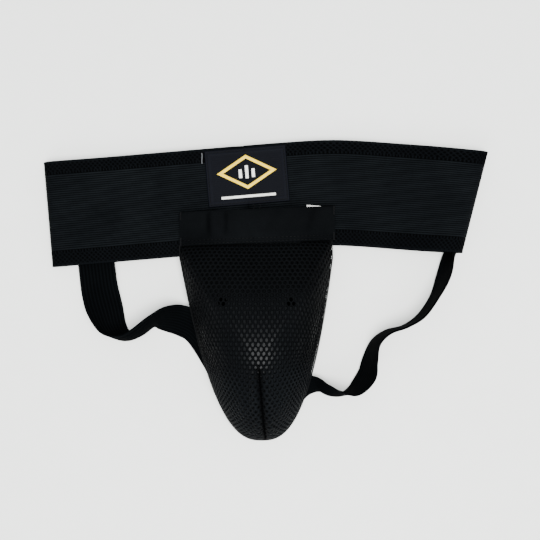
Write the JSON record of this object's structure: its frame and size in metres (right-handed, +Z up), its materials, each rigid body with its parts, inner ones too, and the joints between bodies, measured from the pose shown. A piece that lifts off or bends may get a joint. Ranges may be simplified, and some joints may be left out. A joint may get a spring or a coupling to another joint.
{
  "type": "groin protector",
  "caption": "Black elastic groin protector for martial arts and boxing: waistband, two leg straps and a net pouch holding a removable hard cup.",
  "frame": {"origin": "centre of the part's outline on the surface it lies on", "axes": "+X along the waistband to the right, +Y from the pouch tip towards the waistband, +Z up from the surface"},
  "size_m": [0.3123, 0.211, 0.0531],
  "materials": {
    "waist_elastic": "ribbed knitted elastic, matt black, with two open-knit borders",
    "strap_elastic": "woven elastic tape, matt black",
    "net_cloth": "open polyester net, matt black",
    "lining_cloth": "plain knitted cloth, matt black",
    "binding_cloth": "soft folded cloth, charcoal",
    "inner_elastic": "flat braided elastic",
    "label_cloth": "smooth damask woven label, black",
    "black_thread": "polyester sewing thread, black",
    "grey_thread": "polyester sewing thread, pale grey",
    "white_thread": "woven thread, off-white",
    "yellow_thread": "woven thread, yellow",
    "tag_cloth": "satin ribbon, white",
    "cup_plastic": "injection-moulded hard plastic, glossy black",
    "trim_rubber": "soft moulded rubber, black"
  },
  "bodies": {
    "harness": {"waistband": "waist_elastic", "band_join_stitching": "black_thread", "label_patch": "label_cloth", "label_mark_white": "white_thread", "label_mark_yellow": "yellow_thread", "label_stitching": "black_thread", "loose_thread": "grey_thread", "pouch_lining": "lining_cloth", "lining_stitching": "black_thread", "pouch_net": "net_cloth", "pouch_edge_seam": "black_thread", "pouch_dart_seam": "black_thread", "mouth_binding": "binding_cloth", "mouth_elastic": "inner_elastic", "mouth_stitching": "black_thread", "mouth_tacks": "black_thread", "care_tag": "tag_cloth", "care_tag_stitch": "white_thread", "leg_strap_left": "strap_elastic", "leg_strap_right": "strap_elastic", "strap_tacks_left": "black_thread", "strap_tacks_right": "black_thread", "strap_tip_tacks": "black_thread"},
    "cup": {"cup_shell": "cup_plastic", "cup_edge_trim": "trim_rubber"}
  },
  "joints": [
    {"name": "cup_slide", "type": "slide", "parent": "harness", "child": "cup", "axis": [-0.031, 0.9988, 0.037], "range_m": [0, 0.165], "deforming": ["pouch_net", "pouch_dart_seam", "mouth_binding", "mouth_elastic", "mouth_stitching"]}
  ]
}
